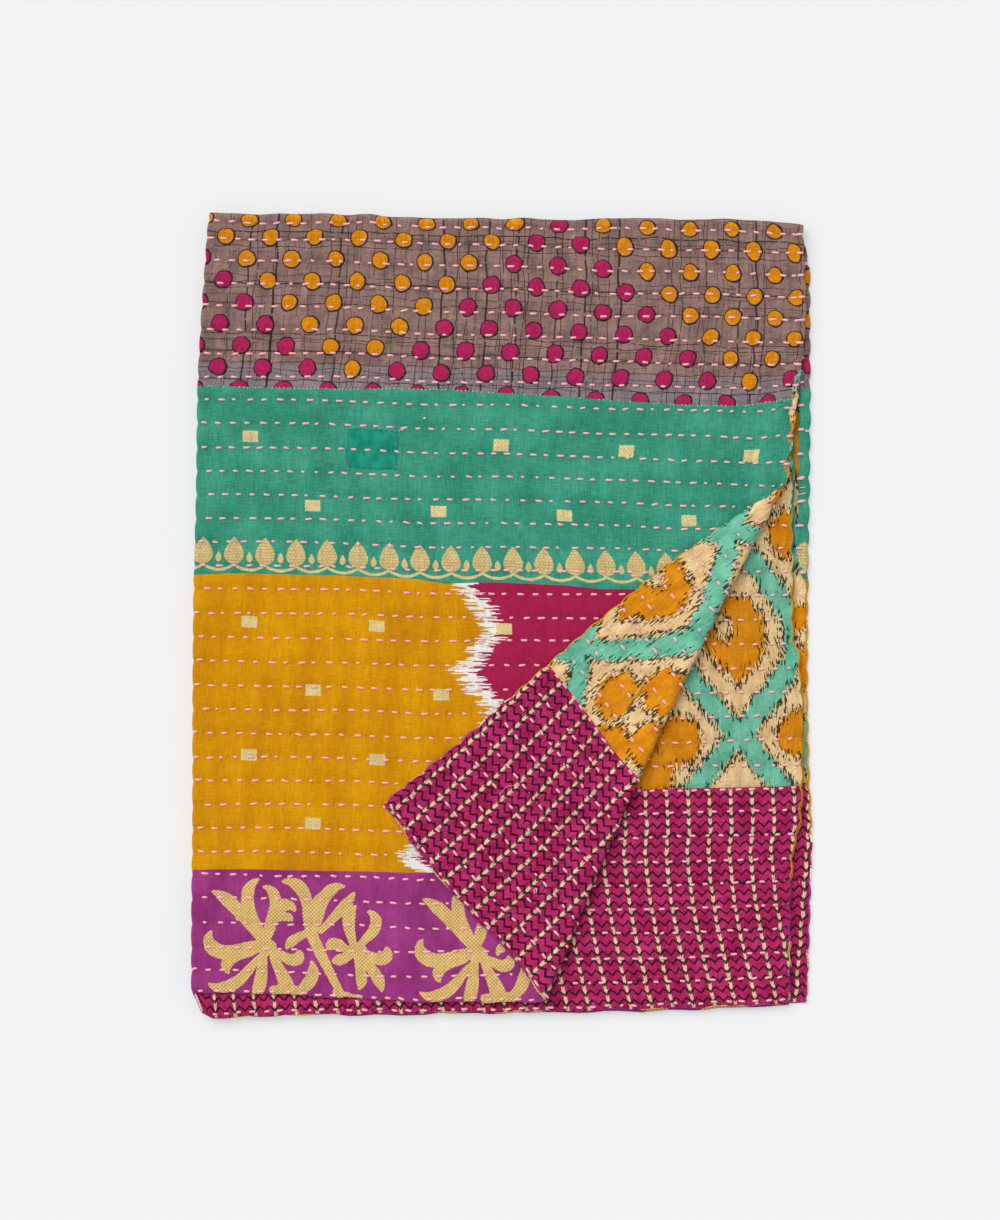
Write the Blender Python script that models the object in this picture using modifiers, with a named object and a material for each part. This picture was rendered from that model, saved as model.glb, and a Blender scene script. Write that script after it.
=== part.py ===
"""A kantha quilt, folded in half across and then in half down, with one corner turned back.

Metres, +Z up, origin in the middle of the underside. The cloth is placed from its own two sizes: `side`
runs across it from the side fold, which is 0, and `run` runs from the front layer's lower hem over the
top fold to the bottom layer's lower hem. Positive `side` is the outer pair of layers, front and bottom,
and negative `side` is the inner pair between them.
"""

import math

import bmesh
import bpy
import numpy as np
from mathutils import Vector
from mathutils.bvhtree import BVHTree

MM = 0.001

# The cloth.
HALF_WIDTH = 517 * MM
ROW_PITCH = 20.15 * MM
ROW_SPACES = 66
FRONT_LENGTH = 33 * ROW_PITCH
CREST_THICKNESS = 2.4 * MM
STITCHED_SHARE = 0.46
FOLD_SHARE = 0.75
HEM_SHARE = 0.62

# The stack: four layers one step apart, and how much fuller it stands at its folds.
LAYER_STEP = 3.2 * MM
SIDE_BEND = LAYER_STEP / 2
TOP_BEND = LAYER_STEP
SINK = 0.35 * MM
SIDE_FULLNESS = 0.30
TOP_FULLNESS = 0.22
FULLNESS_REACH = 16 * MM
WAVE_SHARE = 0.05
WAVE_ACROSS = 61 * MM
WAVE_UP = 83 * MM
SCALLOP = 1.5 * MM
SCALLOP_REACH = 22 * MM
FLAT_BELOW = 0.8 * MM
FOLD_DEPTH = 1.5 * LAYER_STEP + CREST_THICKNESS / 2

# Where the edges lie, in mm from the middle. Side fold: height up the stack, place across.
SIDE_FOLD = ((-343, -263), (-73, -262.7), (12, -261.8), (97, -260.1), (191, -259.3), (250, -255.9),
             (287, -253.3), (317, -251.6), (331, -250.2), (343, -245.8))
# Top fold: place across, height.
TOP_FOLD = ((-246, 343), (-140, 341), (-60, 338.6), (0, 338), (90, 334.6), (180, 334), (256, 332))
# Side hem of each layer: height, place across.
SIDE_HEMS = {
    "front": ((-328, 258.4), (-247, 255.9), (-175, 257.6), (-102, 258.8), (-21, 256.7), (50, 250.5),
              (134, 244), (182, 250.8), (229, 255.9), (267, 258.4), (331, 255.9)),
    "upper_inner": ((-330, 244.8), (-243, 244.8), (-200, 247.4), (-179, 253.3), (-147, 255.4),
                    (-73, 255.4), (-30, 252.5), (-20, 247.4), (123, 247.4), (331, 250.8)),
    "lower_inner": ((-330, 246.1), (-243, 246.1), (-200, 248.7), (-179, 254.6), (-147, 256.7),
                    (-73, 256.7), (-30, 253.8), (-20, 248.7), (123, 248.7), (331, 250.8)),
    "bottom": ((-328, 261.4), (-175, 263.5), (-73, 261.8), (44, 262.7), (301, 262.7), (331, 255.9)),
}
# Lower hem of each layer: place across, height.
LOWER_HEMS = {
    "front": ((-263, -321.7), (-218, -321.7), (-144, -325.1), (-71, -329.4), (37, -328.5),
              (101, -327.7), (155, -331.9), (258, -327.7)),
    "upper_inner": ((-250, -343), (-127, -340.4), (-2, -338.7), (127, -336.2), (238, -331.9), (259, -330)),
    "lower_inner": ((-250, -341), (-200, -340.6), (-112, -343.4), (127, -339.4), (258, -333.6)),
    "bottom": ((-250, -339), (0, -337), (259, -331.5)),
}
HEM_JOG_START = -14 * MM
HEM_JOG_WIDTH = 16 * MM

# The turned corner: its crease runs from the lower hem to the side hem.
CREASE_FOOT = (36.6 * MM, -328.5 * MM)
CREASE_HEAD = (246.5 * MM, 123.7 * MM)
CREASE_BOW = 8.0 * MM
CREASE_BOW_REACH = 60 * MM
ROLL_RADIUS = 4.5 * MM
ROLL_SIDES = 4
SETTLE_LENGTH = 26 * MM
SETTLE_LINES = (6 * MM, 17 * MM)

# The bottom layer's side hem curls up on itself. Height, length of cloth in the curl.
CURL_RADIUS = 2.0 * MM
CURL_LENGTHS = ((-330, 2.6), (20, 2.6), (48, 12), (296, 12), (320, 2.0), (343, 0.0))

# The mending patch on the green band.
PATCH_SIDE = (130.5 * MM, 175.5 * MM)
PATCH_RUN = (455 * MM, 489 * MM)
PATCH_THICKNESS = 0.8 * MM
PATCH_GAP = 0.32 * MM
PATCH_COLUMNS = 4

COLLECTION = "Kantha quilt"
MERGE_DISTANCE = 0.01 * MM
CUT_MERGE = 0.4 * MM


def smooth(share):
    share = np.clip(share, 0.0, 1.0)
    return share * share * (3 - 2 * share)


def read(table, place):
    """The table's second column where its first is `place`, both in mm there and in metres here."""
    columns = np.array(sorted(table)) * MM
    return np.interp(place, columns[:, 0], columns[:, 1])


def by_layer(tables, place, outer, lower):
    """A table for each layer, blended where the cloth passes from one layer to the next."""
    upper_row = outer * read(tables["front"], place) + (1 - outer) * read(tables["upper_inner"], place)
    lower_row = outer * read(tables["bottom"], place) + (1 - outer) * read(tables["lower_inner"], place)
    return upper_row + lower * (lower_row - upper_row)


def loft(side, run):
    """Thickness as a share of a crest's: least on the stitch rows, and held in at the folds and hems."""
    share = STITCHED_SHARE + (1 - STITCHED_SHARE) * np.abs(np.sin(math.pi * run / ROW_PITCH))
    past_top = np.clip((run - FRONT_LENGTH) / TOP_BEND, 0, math.pi)
    in_top = (past_top > 0) & (past_top < math.pi)
    in_side = np.abs(side) < math.pi / 2 * SIDE_BEND
    at_hem = np.abs(side) > HALF_WIDTH - 0.5 * MM
    share = np.where(in_top | in_side, np.minimum(share, FOLD_SHARE), share)
    return np.where(at_hem, np.minimum(share, HEM_SHARE), share)


def fold(side, run):
    """The middle of the cloth, folded both ways, with its corner still down."""
    # Round the side fold.
    bend = np.clip(side / SIDE_BEND, -math.pi / 2, math.pi / 2)
    height = SIDE_BEND * np.sin(bend)
    across = SIDE_BEND * (1 - np.cos(bend)) + np.maximum(np.abs(side) - SIDE_BEND * math.pi / 2, 0)
    full_across = SIDE_BEND + HALF_WIDTH - SIDE_BEND * math.pi / 2

    # Round the top fold, and down to the hems.
    turn = np.clip((run - FRONT_LENGTH) / TOP_BEND, 0, math.pi)
    back_length = ROW_SPACES * ROW_PITCH - FRONT_LENGTH - math.pi * TOP_BEND
    down = np.where(turn > 0, (run - FRONT_LENGTH - math.pi * TOP_BEND) / back_length,
                    1 - run / FRONT_LENGTH)
    down = np.maximum(down, 0)
    lower = smooth(turn / math.pi)
    outer = smooth((side - HEM_JOG_START) / HEM_JOG_WIDTH)

    # Across, between the side fold and this layer's side hem.
    level = read(TOP_FOLD, 0) - FOLD_DEPTH - down * FRONT_LENGTH
    left = read(SIDE_FOLD, level)
    right = by_layer(SIDE_HEMS, level, (side > 0) * 1.0, lower)
    crest = np.abs(np.sin(math.pi * run / ROW_PITCH))
    right = right - SCALLOP * (1 - crest) * smooth((across - full_across + SCALLOP_REACH) / SCALLOP_REACH)
    flat_x = left + across / full_across * (right - left)

    # The bottom layer's hem, curled up.
    curl = read(CURL_LENGTHS, level) * ((side > 0) & (turn >= math.pi))
    start = right - CURL_RADIUS
    along = left + across / full_across * (start + curl - left)
    past = np.maximum(along - start, 0)
    angle = np.minimum(past / CURL_RADIUS, math.pi)
    curled_x = np.minimum(along, start) + CURL_RADIUS * np.sin(angle)
    curled_x = curled_x - np.maximum(past - math.pi * CURL_RADIUS, 0)
    x = np.where(curl > 0, curled_x, flat_x)
    lift = np.where(curl > 0, CURL_RADIUS * (1 - np.cos(angle)), 0)

    # Up the stack.
    top_line = read(TOP_FOLD, x) - FOLD_DEPTH
    hem_line = by_layer(LOWER_HEMS, x, outer, lower)
    y = top_line + down * (hem_line - top_line) + (TOP_BEND + height) * np.sin(turn)
    z = 2 * LAYER_STEP + (TOP_BEND + height) * np.cos(turn) + lift - SINK

    # Fuller at the folds, and a little uneven all over.
    at_side = np.exp(-(x - left) / FULLNESS_REACH)
    at_top = np.exp(-np.abs(top_line - y) / FULLNESS_REACH)
    waves = np.sin(x / WAVE_ACROSS + 1) * np.sin(y / WAVE_UP)
    z = z * (1 + SIDE_FULLNESS * at_side + TOP_FULLNESS * at_top + WAVE_SHARE * waves)
    return x, y, z


def crease_axes():
    """The crease's direction, and the level direction square to it, towards the corner."""
    run_x = CREASE_HEAD[0] - CREASE_FOOT[0]
    run_y = CREASE_HEAD[1] - CREASE_FOOT[1]
    length = math.hypot(run_x, run_y)
    direction = (run_x / length, run_y / length)
    return direction, (direction[1], -direction[0]), length


def turn_corner(x, y, z):
    """Rolls what lies past the crease back over the front layer, where it settles down."""
    direction, square, length = crease_axes()
    past = (x - CREASE_FOOT[0]) * square[0] + (y - CREASE_FOOT[1]) * square[1]
    along = (x - CREASE_FOOT[0]) * direction[0] + (y - CREASE_FOOT[1]) * direction[1]
    roll = np.clip((past + ROLL_RADIUS) / ROLL_RADIUS, 0, math.pi)
    beyond = np.maximum(past + ROLL_RADIUS - math.pi * ROLL_RADIUS, 0)
    place = np.minimum(past, -ROLL_RADIUS) + ROLL_RADIUS * np.sin(roll) - beyond
    lift = ROLL_RADIUS * (1 - np.cos(roll))
    lift = lift - (2 * ROLL_RADIUS - LAYER_STEP) * smooth(beyond / SETTLE_LENGTH)
    bow = CREASE_BOW * np.sin(math.pi * np.clip(along / length, 0, 1))
    place_bowed = place - bow * np.exp(-(place / CREASE_BOW_REACH) ** 2)
    shift = place_bowed - past
    return x + shift * square[0], y + shift * square[1], z + lift


def cloth_lines():
    """The grid's lines across and along the cloth, in metres."""
    bend = SIDE_BEND * math.pi / 2
    rim = HALF_WIDTH - 13.5 * MM
    inner = [-HALF_WIDTH, -HALF_WIDTH + 22 * MM, -350 * MM, -170 * MM, -24 * MM]
    around = [-bend, -bend / 2, 0, bend / 2, bend]
    outer = [24 * MM, 120 * MM, 215 * MM, 310 * MM, 405 * MM, rim]
    curl = [rim + 3.4 * MM, rim + 5.6 * MM, rim + 7.8 * MM, HALF_WIDTH]
    sides = inner + around + outer + curl
    rows = [row * ROW_PITCH / 2 for row in range(2 * ROW_SPACES + 1)]
    top = [FRONT_LENGTH + TOP_BEND * math.pi * step / 4 for step in range(1, 5)]
    top_end = top[-1]
    runs = [run for run in rows if run <= FRONT_LENGTH + MERGE_DISTANCE] + top
    runs += [run for run in rows if run > top_end + 2 * MM]
    return sides, runs, rim


def folded_sheet():
    """The open middle surface with the corner turned, and its thickness share at each point."""
    sides, runs, rim = cloth_lines()
    mesh = bmesh.new()
    across, up = len(sides) - 1, len(runs) - 1
    bmesh.ops.create_grid(mesh, x_segments=across, y_segments=up, size=0.5)
    columns = [round((v.co.x + 0.5) * across) for v in mesh.verts]
    lines = [round((v.co.y + 0.5) * up) for v in mesh.verts]
    side = np.array([sides[c] for c in columns])
    run = np.array([runs[r] for r in lines])
    share = loft(side, run)
    x, y, z = fold(side, run)
    thickness = mesh.verts.layers.float.new("thickness")
    on_front = mesh.verts.layers.float.new("front")
    for v in mesh.verts:
        v[thickness] = share[v.index]
        v[on_front] = float(side[v.index] > 0 and run[v.index] <= FRONT_LENGTH + MERGE_DISTANCE)
        v.co = Vector((x[v.index], y[v.index], z[v.index]))

    # Only the bottom layer needs the curl's extra columns.
    spare = [e for e in mesh.edges
             if all(rim + MM < side[v.index] < HALF_WIDTH - MM for v in e.verts)
             and all(run[v.index] <= FRONT_LENGTH + MERGE_DISTANCE for v in e.verts)]
    bmesh.ops.dissolve_edges(mesh, edges=spare, use_verts=True)
    cut_roll_lines(mesh, on_front)
    for v in mesh.verts:
        if v[on_front] > 0.99:
            v.co = Vector([float(c) for c in turn_corner(*v.co)])
    return mesh, thickness


def cut_roll_lines(mesh, on_front):
    """Cuts the front layer along the lines where its corner will roll and settle."""
    direction, square, length = crease_axes()
    rolled = math.pi * ROLL_RADIUS
    lines = [-ROLL_RADIUS + rolled * side / ROLL_SIDES for side in range(ROLL_SIDES + 1)]
    lines += [rolled + past for past in SETTLE_LINES]
    for past in lines:
        faces = [f for f in mesh.faces if all(v[on_front] > 0.99 for v in f.verts)]
        edges = {e for f in faces for e in f.edges}
        points = {v for f in faces for v in f.verts}
        centre = Vector((CREASE_FOOT[0] + past * square[0], CREASE_FOOT[1] + past * square[1], 0))
        bmesh.ops.bisect_plane(mesh, geom=[*points, *edges, *faces], plane_co=centre,
                               plane_no=Vector((square[0], square[1], 0)), dist=CUT_MERGE)


def cotton(name, colour):
    """Plain woven cotton: matt, and a little brighter at a low angle."""
    material = bpy.data.materials.new(name)
    material.use_nodes = True
    shader = material.node_tree.nodes["Principled BSDF"]
    shader.inputs["Base Color"].default_value = (*colour, 1)
    shader.inputs["Roughness"].default_value = 0.9
    shader.inputs["Metallic"].default_value = 0.0
    return material


def add_object(name, mesh, material, collection):
    thing = bpy.data.objects.new(name, mesh)
    mesh.materials.append(material)
    collection.objects.link(thing)
    return thing


def thickened(thing, thickness, offset):
    """The object's sheet as a closed solid."""
    solid = thing.modifiers.new("Thickness", "SOLIDIFY")
    solid.thickness = thickness
    solid.offset = offset
    solid.use_quality_normals = True
    if "loft" in thing.vertex_groups:
        solid.vertex_group = "loft"
    bpy.context.view_layer.update()
    graph = bpy.context.evaluated_depsgraph_get()
    mesh = bpy.data.meshes.new_from_object(thing.evaluated_get(graph), depsgraph=graph)
    thing.modifiers.clear()
    thing.vertex_groups.clear()
    thing.data = mesh
    return thing


def middle_of(mesh):
    """The middle of the mesh's box."""
    low = Vector([min(v.co[axis] for v in mesh.vertices) for axis in range(3)])
    high = Vector([max(v.co[axis] for v in mesh.vertices) for axis in range(3)])
    return (low + high) / 2


def make_quilt(collection):
    sheet, thickness = folded_sheet()
    shares = [v[thickness] for v in sheet.verts]
    mesh = bpy.data.meshes.new("quilt")
    sheet.to_mesh(mesh)
    sheet.free()
    quilt = add_object("quilt", mesh, cotton("Quilted cotton", (0.22, 0.10, 0.16)), collection)
    group = quilt.vertex_groups.new(name="loft")
    for index, share in enumerate(shares):
        group.add([index], share, "REPLACE")
    thickened(quilt, CREST_THICKNESS, 0)
    centre = middle_of(quilt.data)
    for v in quilt.data.vertices:
        v.co.x -= centre.x
        v.co.y -= centre.y
        # It lies flat on its underside.
        if v.co.z < FLAT_BELOW:
            v.co.z = 0
    quilt.data.shade_smooth()
    return quilt


def make_patch(quilt, collection):
    """A small square of cloth, laid on the front layer along the same stitch rows."""
    middle = [row * ROW_PITCH / 2 for row in range(2 * ROW_SPACES)
              if PATCH_RUN[0] + 2 * MM < row * ROW_PITCH / 2 < PATCH_RUN[1] - 2 * MM]
    runs = [PATCH_RUN[0], *middle, PATCH_RUN[1]]
    patch = bmesh.new()
    bmesh.ops.create_grid(patch, x_segments=PATCH_COLUMNS, y_segments=len(runs) - 1, size=0.5)
    below = BVHTree.FromObject(quilt, bpy.context.evaluated_depsgraph_get())
    for v in patch.verts:
        side = PATCH_SIDE[0] + (v.co.x + 0.5) * (PATCH_SIDE[1] - PATCH_SIDE[0])
        run = runs[round((v.co.y + 0.5) * (len(runs) - 1))]
        x, y, z = fold(np.array(side), np.array(run))
        hit = below.ray_cast(Vector((float(x), float(y), 0.1)), Vector((0, 0, -1)))[0]
        v.co = Vector((float(x), float(y), hit.z + PATCH_GAP))
    mesh = bpy.data.meshes.new("mending_patch")
    patch.to_mesh(mesh)
    patch.free()
    thing = add_object("mending_patch", mesh, cotton("Patch cotton", (0.01, 0.26, 0.17)), collection)
    thickened(thing, PATCH_THICKNESS, 1)
    thing.data.shade_smooth()
    return thing


def main():
    for thing in list(bpy.data.objects):
        bpy.data.objects.remove(thing, do_unlink=True)
    collection = bpy.data.collections.new(COLLECTION)
    bpy.context.scene.collection.children.link(collection)
    quilt = make_quilt(collection)
    bpy.context.view_layer.update()
    make_patch(quilt, collection)


main()
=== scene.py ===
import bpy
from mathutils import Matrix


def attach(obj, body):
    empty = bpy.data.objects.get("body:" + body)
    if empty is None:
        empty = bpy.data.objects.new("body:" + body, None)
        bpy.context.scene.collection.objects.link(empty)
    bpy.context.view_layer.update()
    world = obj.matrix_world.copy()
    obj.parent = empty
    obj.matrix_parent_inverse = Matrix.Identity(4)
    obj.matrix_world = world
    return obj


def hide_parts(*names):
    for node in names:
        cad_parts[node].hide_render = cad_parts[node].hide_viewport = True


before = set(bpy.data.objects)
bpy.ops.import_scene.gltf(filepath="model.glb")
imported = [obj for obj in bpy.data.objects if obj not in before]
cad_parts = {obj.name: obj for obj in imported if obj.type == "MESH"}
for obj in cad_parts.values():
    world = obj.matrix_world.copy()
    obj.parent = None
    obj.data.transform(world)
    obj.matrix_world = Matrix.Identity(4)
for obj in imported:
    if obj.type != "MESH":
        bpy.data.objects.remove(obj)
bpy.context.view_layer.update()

import ast
import math

import bpy
import numpy as np

MM = 0.001

# ---- The cloth ----
# `side` runs across it from the side fold at 0, and `run` from the front layer's lower hem over the top
# fold to the bottom layer's lower hem. Positive `side` is the outer pair of layers. Face 1 is the
# patchwork, which shows outside, and face -1 the inner cloth.
HALF_WIDTH = 517 * MM
ROW_PITCH = 20.15 * MM
ROW_SPACES = 66
LENGTH = ROW_SPACES * ROW_PITCH
FRONT_LENGTH = 33 * ROW_PITCH
STITCH_PITCH = 12.2 * MM
STITCH_THICKNESS = 2.15 * MM
# No row of stitches lies nearer than this to a lower hem.
HEM_CLEARANCE = 1.6 * MM
# From the middle of the cloth to a face: on a stitch row, its rise between two, at a hem, in a fold.
STITCHED_HALF = 0.40 * MM
CREST_RISE = 0.68 * MM
HEM_HALF = 0.75 * MM
FOLD_HALF = 0.9 * MM
HEM_WIDTH = 5 * MM
SEAM_GROOVE = 0.3 * MM
SEAM_GROOVE_HALF = 1.3 * MM
# Where the cloth wraps round a hem, its end is tucked under this far on.
WRAP_END = 1.2 * MM
WRAP_SINK = 0.3 * MM
# Nothing lies lower than this over the floor.
LOWEST = 0.05 * MM

# The stitch rows: row, and its place along the cloth in mm.
ROWS = np.array(((0, 3), (1, 23), (5, 105.5), (10, 206), (17, 351), (25, 512), (29, 592), (31, 630.5),
    (32, 648), (33, 662), (66, 1327)))

# How far they drift up the front layer: place along the cloth, then mm of drift at DRIFT_SIDES.
DRIFT_SIDES = (-20, 10, 60, 130, 210, 290, 370, 450, 510)
ROW_DRIFT = (
    (0, 0, -3.2, -3.4, -2.6, -1.2, -0.6, 0, 0, 0), (57, 0, -3.6, -4.0, -2.8, -1.1, -0.8, 0, 0, 0),
    (137, 0, -3.6, -3.4, -1.7, -0.4, -0.6, 0, 0, 0), (207, 0, -3.0, -2.1, -0.9, -0.6, -0.4, 0, 0, 0),
    (277, 0, -3.6, -3.0, -2.3, -1.6, -0.4, 0.5, 0.4, 0), (337, 0, -3.4, -2.3, -1.7, -0.9, 0.4, 1.3, 1.8, 1.4),
    (397, 0, -3.6, -2.6, -1.5, -0.2, 1.1, 2.8, 2.8, 1.8), (457, 0, -2.9, -1.6, -0.9, 0.4, 1.7, 2.6, 2.6, 1.6),
    (517, 0, -2.3, -1.2, -0.6, 0, 0, 0.8, 1.0, 0.6), (567, 0, -2.3, -1.2, -0.6, -0.9, -1.2, -0.2, 0, 0),
    (617, 0, -1.9, -1.1, -0.8, -2.2, -1.3, 0.2, 0.2, 0), (655, 0, 0, 0, 0, 0, 0, 0, 0, 0),
)

# The stack.
LAYER_STEP = 3.2 * MM
SIDE_BEND = LAYER_STEP / 2
TOP_BEND = LAYER_STEP
FOLD_DEPTH = 6.0 * MM
SINK = 0.35 * MM
SIDE_FULLNESS = 0.30
TOP_FULLNESS = 0.22
FULLNESS_REACH = 16 * MM
SCALLOP = 2.0 * MM
SCALLOP_REACH = 22 * MM
FOLD_SCALLOP = 0.9 * MM
FOLD_SCALLOP_REACH = 12 * MM
# Waves along the top fold and the lower hem: height, length, and how far they reach into the cloth.
TOP_WAVE, TOP_WAVE_LENGTH, TOP_WAVE_REACH = 1.6 * MM, 19 * MM, 12 * MM
HEM_WAVE, HEM_WAVE_LENGTH, HEM_WAVE_REACH = 1.2 * MM, 13 * MM, 9 * MM
CENTRE_SHIFT = 0.225 * MM

# Where the edges lie, in mm from the middle. Side fold: height up the stack, place across.
SIDE_FOLD = ((-343, -263), (-250, -262.8), (-190, -262), (-73, -261.9), (12, -261.2), (97, -258.9),
    (191, -257.8), (250, -254.6), (287, -251.8), (317, -249.8), (331, -248), (343, -245))
# Top fold: place across, height.
TOP_FOLD = ((-246, 341.5), (-205, 340.5), (-140, 341), (-60, 338.6), (0, 338), (90, 334.6), (180, 334),
    (256, 332))
# How far the edge of the top fold is drawn up beyond that: place across, rise.
TOP_RISE = ((62, 0), (90, 3.2), (130, 3.4), (190, 3.8), (228, 3.8), (244, 1), (256, 0))
TOP_RISE_START = 303 * MM
TOP_RISE_HEIGHT = 28 * MM
# Side hem of each layer: height, place across.
SIDE_HEMS = {
    "front": ((-328, 258.4), (-247, 255.9), (-175, 257.6), (-102, 258.8), (-21, 256.7), (50, 250.5),
        (134, 244), (182, 250.8), (229, 255.9), (267, 258.4), (331, 255.9)),
    "upper_inner": ((-330, 244.8), (-243, 244.8), (-200, 247.4), (-179, 253.3), (-147, 255.4),
        (-73, 255.4), (-30, 252.5), (-20, 247.4), (123, 247.4), (331, 250.8)),
    "lower_inner": ((-330, 246.1), (-243, 246.1), (-200, 248.7), (-179, 254.6), (-147, 256.7),
        (-73, 256.7), (-30, 253.8), (-20, 248.7), (123, 248.7), (331, 250.8)),
    "bottom": ((-328, 260.5), (-185, 264.6), (-140, 262.2), (-73, 260.6), (44, 260.8), (170, 262.3),
        (301, 262.2), (331, 255.9)),
}
# Lower hem of each layer: place across, height.
LOWER_HEMS = {
    "front": ((-263, -321.7), (-218, -321.7), (-144, -325.1), (-71, -329.4), (37, -328.5), (101, -327.7),
        (155, -331.9), (258, -327.7)),
    "upper_inner": ((-263, -332), (-261.6, -337.5), (-259, -341), (-254, -343), (-127, -339.8),
        (-2, -337.9), (127, -335.8), (238, -331.7), (259, -329.6)),
    "lower_inner": ((-263, -330), (-261.6, -335.5), (-259, -339), (-254, -341), (-200, -340.6),
        (-112, -340.8), (32, -338.6), (127, -338), (258, -332.4)),
    "bottom": ((-263, -329), (-259, -336.5), (-252, -339), (0, -337), (259, -331.5)),
}
HEM_JOG_START = -3 * MM
HEM_JOG_WIDTH = 4.5 * MM
# Where the inner cloth frays out round the front layer's side hem.
FRAY = 8.4 * MM
FRAY_MIDDLE = 505 * MM
FRAY_HALF = 52 * MM
FRAY_TAPER = 20 * MM
FRAY_TUFT = 2.6 * MM
FRAY_LIFT = 0.4 * MM
# Its edge wanders all along, and draws the cloth beside it with it.
EDGE_WANDER = 0.55 * MM
EDGE_REACH = 8 * MM
# Below the front layer's hem the side fold sits further in.
LOWER_TUCK = 5.4 * MM
TUCK_START = -319 * MM
TUCK_HEIGHT = 4 * MM
TUCK_REACH = 30 * MM

# How far the front layer has slipped down: height, slip, then place across, thousandths of it.
SLIP = ((-90, 0), (-20, 2.5), (35, 7), (89, 9), (144, 10), (182, 6), (240, 3.8), (300, 3.2), (343, 0.8))
SLIP_SHARE = ((-230, 0), (-120, 200), (0, 420), (107, 700), (211, 1000))
# Beside the hem it is drawn up again: height, rise.
RISE = ((120, 0), (155, 4.5), (195, 5), (225, 1.5), (250, -1), (300, -1), (343, 0))
RISE_START = 208 * MM
RISE_WIDTH = 44 * MM

# The turned corner, and the bottom layer's curled hem.
CREASE_FOOT = (36.6 * MM, -328.5 * MM)
CREASE_HEAD = (246.5 * MM, 123.7 * MM)
CREASE_BOW = 8.0 * MM
CREASE_BOW_REACH = 60 * MM
ROLL_RADIUS = 4.5 * MM
SETTLE_LENGTH = 26 * MM
# Past the roll the corner is crumpled: how high, and how far across and up one crumple goes.
CRUMPLE, CRUMPLE_WIDTH, CRUMPLE_LENGTH = 1.4 * MM, 15 * MM, 12 * MM
CURL_RADIUS = 2.0 * MM
CURL_LENGTHS = ((-330, 2.6), (20, 2.6), (48, 12), (296, 12), (320, 2.0), (343, 0.0))

# Seams of the patchwork face and of the inner cloth, in mm of `run`. The far half mirrors the near.
PURPLE_TO_MUSTARD = 106.5
MUSTARD_TO_GREEN = 360.0
GREEN_TO_GREY = 521.5
MAGENTA_TO_IKAT = 187.0

# How far a seam strays: its place, then across the cloth, mm along it. It draws the cloth beside it
# with it, over SEAM_REACH.
SEAM_REACH = 8
SEAM_DRIFT = {
    GREEN_TO_GREY: ((0, 0), (130, 0), (170, 2.6), (215, 3.0), (250, 1), (320, 0), (370, -2), (415, -3),
        (460, -3), (490, -1), (517, -1.5)),
    MUSTARD_TO_GREEN: ((0, -0.8), (40, 1), (120, 1.6), (190, 2.4), (215, -1.2), (250, 0.8), (320, 0),
        (345, -2.4), (400, -2), (517, -1)),
    PURPLE_TO_MUSTARD: ((0, -0.6), (60, 0.2), (105, 0.8), (150, 2.4), (190, 3.4), (240, 4.8), (300, 4),
        (400, 0), (517, 0)),
}

def smooth(share):
    share = np.clip(share, 0.0, 1.0)
    return share * share * (3 - 2 * share)


def read(table, place):
    """The table's second column where its first is `place`, both in mm there and in metres here."""
    columns = np.array(sorted(table)) * MM
    return np.interp(place, columns[:, 0], columns[:, 1])


def by_layer(tables, place, outer, lower):
    """A table for each layer, blended where the cloth passes from one layer to the next."""
    front, upper_inner, lower_inner, bottom = (read(table, place) for table in tables.values())
    above = outer * front + (1 - outer) * upper_inner
    below = outer * bottom + (1 - outer) * lower_inner
    return above + lower * (below - above)


def uneven(across, along, seed):
    """Smooth unevenness from -1 to 1, with one swell for each unit of its two places."""
    grid = np.random.RandomState(seed).uniform(-1, 1, (64, 64))
    i, j = np.floor(across).astype(int), np.floor(along).astype(int)
    u, v = smooth(across - i), smooth(along - j)
    near, far = (grid[i % 64, k % 64] * (1 - u) + grid[(i + 1) % 64, k % 64] * u for k in (j, j + 1))
    return near * (1 - v) + far * v


def seam_wander(side, run):
    """How far the cloth is sewn up or down beside a seam."""
    strays = (np.interp(side / MM, *zip(*table)) * np.exp(-((run / MM - place) / SEAM_REACH) ** 2)
              for place, table in SEAM_DRIFT.items())
    return sum(strays) * MM


def row_place(row):
    return np.interp(row, ROWS[:, 0], ROWS[:, 1]) * MM


def row_wander(side, run):
    """How far a hand-sewn row strays from its line."""
    place = np.interp(run / MM, [line[0] for line in ROW_DRIFT], range(len(ROW_DRIFT)))
    drift = sum(np.interp(side / MM, DRIFT_SIDES, line[1:]) * np.maximum(1 - np.abs(place - i), 0)
                for i, line in enumerate(ROW_DRIFT))
    return (drift + 1.2 * uneven(side / (70 * MM), run / ROW_PITCH, 3)) * MM


def crest(side, run):
    """0 on a stitch row and 1 between two."""
    row = np.interp((run - row_wander(side, run)) / MM, ROWS[:, 1], ROWS[:, 0])
    return np.abs(np.sin(math.pi * row))


def swells(x, y):
    """Soft troughs and ridges of the whole stack, as a share of its height."""
    x, y = x / MM, y / MM
    long_swell = np.sin(x / 61 + 1) * np.sin(y / 83)
    up_ripple = uneven(x / 13 + 0.4 * uneven(x / 50, y / 60, 5), y / 110, 6)
    cross_ripple = uneven(x / 90, y / 31, 7)
    # The strip beside the turned corner is drawn into close gathers.
    gathers = np.sin(2 * math.pi * (x + 0.16 * y) / 11.5 + 3 * uneven(x / 38, y / 45, 8))
    drawn = np.exp(-((x - 205) / 70) ** 2 - ((y - 120) / 80) ** 2)
    raised_corner = np.exp(-((x + 243) ** 2 + (y - 333) ** 2) / 10 ** 2)
    return (0.05 * long_swell + 0.032 * up_ripple + 0.022 * cross_ripple
            + gathers * (0.010 + 0.026 * drawn) + 0.14 * raised_corner)


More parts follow.
